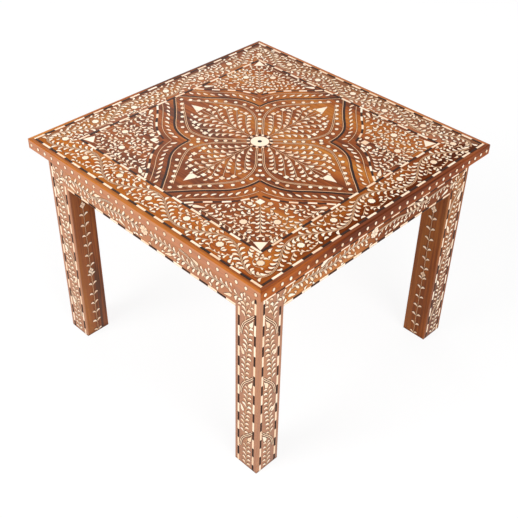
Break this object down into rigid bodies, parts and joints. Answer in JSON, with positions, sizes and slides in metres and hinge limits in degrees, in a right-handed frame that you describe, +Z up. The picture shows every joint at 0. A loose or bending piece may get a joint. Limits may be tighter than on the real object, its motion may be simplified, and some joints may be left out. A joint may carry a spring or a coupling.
{
  "type": "inlaid low table stool",
  "caption": "Square low table or stool of solid wood on straight square legs, its top, edges, aprons and legs inlaid with bone and horn.",
  "frame": {"origin": "on the floor, under the middle of the top", "axes": "+Z up, -Y towards the front side, +X towards the right side; the table looks alike from all four sides"},
  "size_m": [0.6, 0.6, 0.46],
  "materials": {
    "field_wood": "orange-brown rosewood with darker streaks, satin",
    "border_wood": "orange-brown rosewood with golden and purple-brown streaks, satin",
    "leg_wood": "red-brown rosewood, satin",
    "apron_wood": "light brown rosewood, satin",
    "inner_wood": "plain sawn wood, dull",
    "bone": "warm white bone, polished",
    "horn": "near-black horn, polished",
    "steel": "plain steel"
  },
  "bodies": {
    "root": {"field_board_1": "field_wood", "field_board_2": "field_wood", "field_board_3": "field_wood", "centre_roundel": "bone", "centre_pin": "horn", "batten_left": "inner_wood", "batten_screw_left_1": "steel", "batten_screw_left_2": "steel", "batten_screw_left_3": "steel", "batten_right": "inner_wood", "batten_screw_right_1": "steel", "batten_screw_right_2": "steel", "batten_screw_right_3": "steel", "border_board_front": "border_wood", "outer_line_front": "bone", "inner_line_front": "bone", "petal_triangle_front": "bone", "apron_front": "apron_wood", "border_board_right": "border_wood", "outer_line_right": "bone", "inner_line_right": "bone", "petal_triangle_right": "bone", "apron_right": "apron_wood", "border_board_back": "border_wood", "outer_line_back": "bone", "inner_line_back": "bone", "petal_triangle_back": "bone", "apron_back": "apron_wood", "border_board_left": "border_wood", "outer_line_left": "bone", "inner_line_left": "bone", "petal_triangle_left": "bone", "apron_left": "apron_wood", "leg_front_right": "leg_wood", "corner_triangle_front_right": "bone", "mitre_key_front_right": "inner_wood", "corner_block_front_right": "inner_wood", "leg_screw_front_right": "steel", "top_screw_front_right": "steel", "leg_back_right": "leg_wood", "corner_triangle_back_right": "bone", "mitre_key_back_right": "inner_wood", "corner_block_back_right": "inner_wood", "leg_screw_back_right": "steel", "top_screw_back_right": "steel", "leg_back_left": "leg_wood", "corner_triangle_back_left": "bone", "mitre_key_back_left": "inner_wood", "corner_block_back_left": "inner_wood", "leg_screw_back_left": "steel", "top_screw_back_left": "steel", "leg_front_left": "leg_wood", "corner_triangle_front_left": "bone", "mitre_key_front_left": "inner_wood", "corner_block_front_left": "inner_wood", "leg_screw_front_left": "steel", "top_screw_front_left": "steel"}
  },
  "joints": []
}
